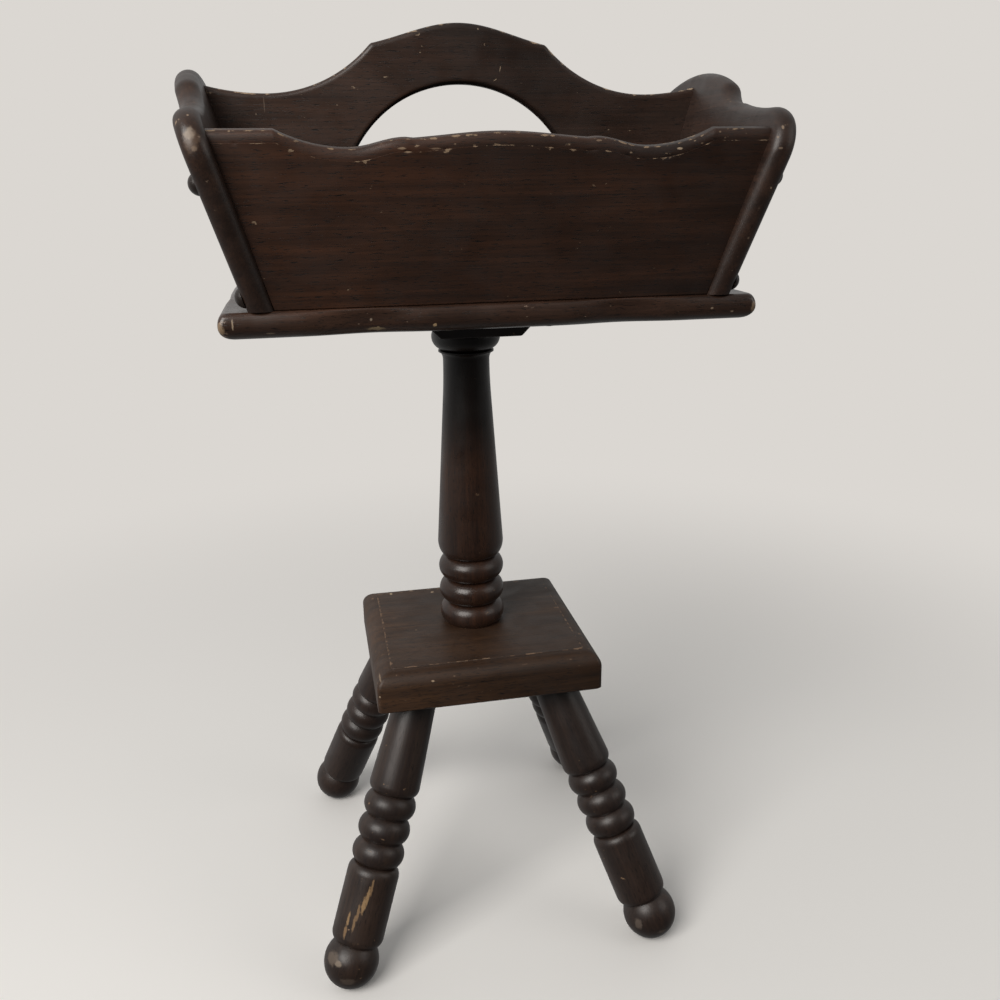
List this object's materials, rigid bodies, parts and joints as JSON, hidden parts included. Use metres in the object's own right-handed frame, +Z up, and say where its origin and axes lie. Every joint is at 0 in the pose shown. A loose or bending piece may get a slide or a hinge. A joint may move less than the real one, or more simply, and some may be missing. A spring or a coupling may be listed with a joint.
{
  "type": "bible stand",
  "caption": "Open wooden book trough with a divider handle, raised on a turned post over a small plate and splayed turned legs.",
  "frame": {"origin": "on the floor, under the post, in the middle of the four feet", "axes": "+Z up, +X to the right along the trough, -Y towards the viewer, at the trough's front panel"},
  "size_m": [0.424, 0.3624, 0.7765],
  "materials": {
    "walnut_stain": "satin lacquer over dark walnut stain",
    "dark_walnut_stain": "satin lacquer over dark walnut stain",
    "screw_steel": "plain bright steel"
  },
  "bodies": {
    "root": {"base_board": "walnut_stain", "left_end_board": "walnut_stain", "right_end_board": "walnut_stain", "front_panel": "walnut_stain", "back_panel": "walnut_stain", "divider": "walnut_stain", "post": "walnut_stain", "plate": "walnut_stain", "front_left_leg": "walnut_stain", "front_right_leg": "walnut_stain", "back_left_leg": "walnut_stain", "back_right_leg": "walnut_stain", "cleat": "dark_walnut_stain", "left_buttons": "dark_walnut_stain", "right_buttons": "dark_walnut_stain", "left_end_screws": "screw_steel", "right_end_screws": "screw_steel", "base_screws": "screw_steel", "cleat_screws": "screw_steel", "lag_screw": "screw_steel", "lag_washer": "screw_steel"}
  },
  "joints": []
}
